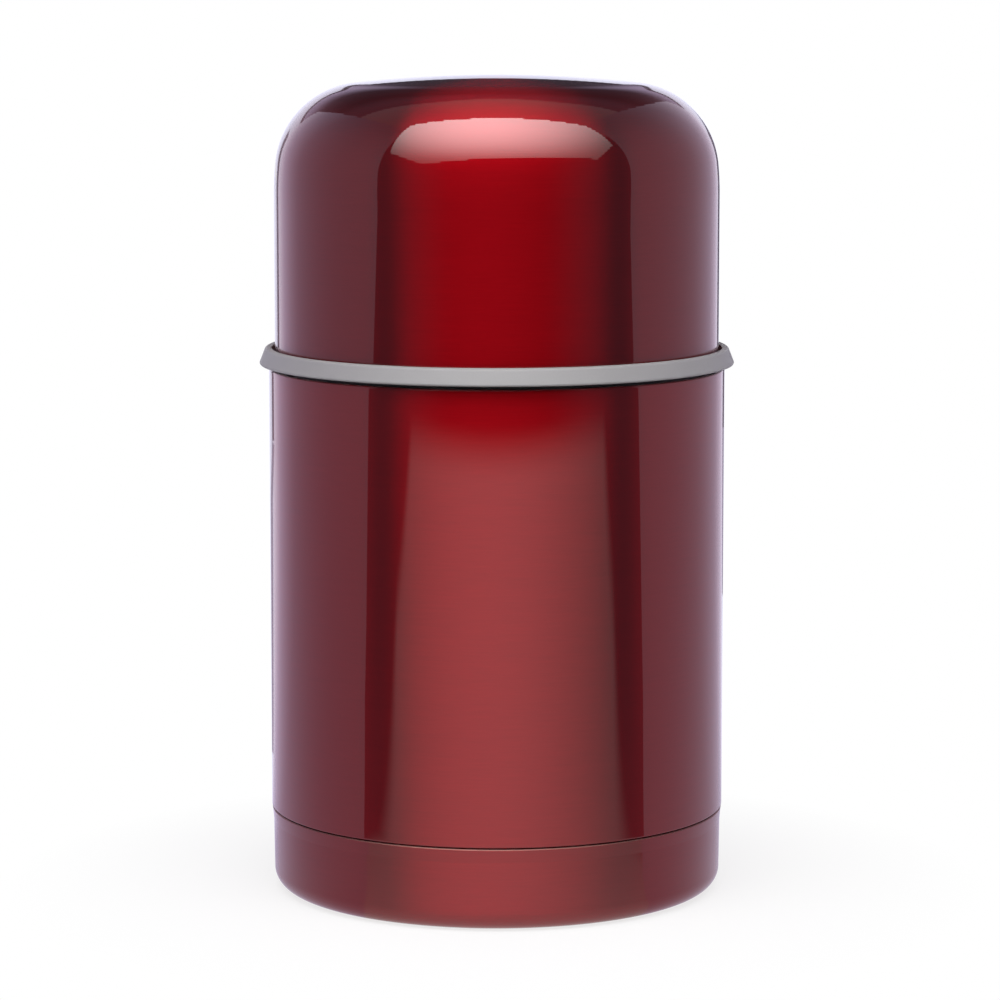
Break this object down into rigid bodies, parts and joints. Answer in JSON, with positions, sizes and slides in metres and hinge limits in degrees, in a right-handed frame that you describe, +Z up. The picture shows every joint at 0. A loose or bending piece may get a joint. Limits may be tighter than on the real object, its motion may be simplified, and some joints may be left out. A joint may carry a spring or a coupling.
{
  "type": "insulated food jar",
  "caption": "Tall round insulated food jar with a domed lift-off cup, a grey neck ring, a screw stopper with a push-button vent and a separate base cap.",
  "frame": {"origin": "on the surface the jar stands on, at the middle of the base cap's foot ring", "axes": "+Z up along the jar's axis, towards the cup; the jar is round, so +X and +Y are free, with +Y away from the viewer"},
  "size_m": [0.104, 0.104, 0.1791],
  "materials": {
    "red_lacquer": "clear candy-red lacquer over steel brushed round the axis, glossy",
    "bare_steel": "bare stainless steel, satin",
    "grey_plastic": "grey polypropylene, finely eroded matte mould surface",
    "dark_plastic": "charcoal polypropylene, satin",
    "silicone": "translucent white silicone, matte",
    "foam": "white expanded foam",
    "glue": "cured elastic adhesive",
    "solder_glass": "fused glass bead",
    "copper_foil": "thin copper foil, bright"
  },
  "bodies": {
    "jar": {"outer_shell": "red_lacquer", "base_cap": "red_lacquer", "base_bond": "glue", "outer_bottom": "bare_steel", "vacuum_seal": "solder_glass", "inner_vessel": "bare_steel", "heat_shield": "copper_foil", "getter": "bare_steel", "neck_ring": "grey_plastic"},
    "stopper": {"stopper_body": "dark_plastic", "stopper_cover": "dark_plastic", "stopper_foam": "foam", "stopper_gasket": "silicone"},
    "cup": {"cup_shell": "red_lacquer", "cup_liner": "grey_plastic", "cup_bond": "glue"},
    "vent_valve": {"vent_button": "grey_plastic", "button_seal": "silicone", "valve_stem": "dark_plastic", "valve_spring": "bare_steel", "valve_seal": "silicone", "valve_plate": "dark_plastic", "valve_screw": "bare_steel"}
  },
  "joints": [
    {"name": "stopper_lift", "type": "slide", "parent": "jar", "child": "stopper", "axis": [0, 0, 1], "range_m": [0, 0.06]},
    {"name": "cup_lift", "type": "slide", "parent": "stopper", "child": "cup", "axis": [0, 0, 1], "range_m": [0, 0.06]},
    {"name": "vent_press", "type": "slide", "parent": "stopper", "child": "vent_valve", "axis": [0, 0, -1], "range_m": [0, 0.0025], "stiffness_N_per_m": 300, "springref_m": -0.004, "deforming": ["valve_spring"]}
  ]
}
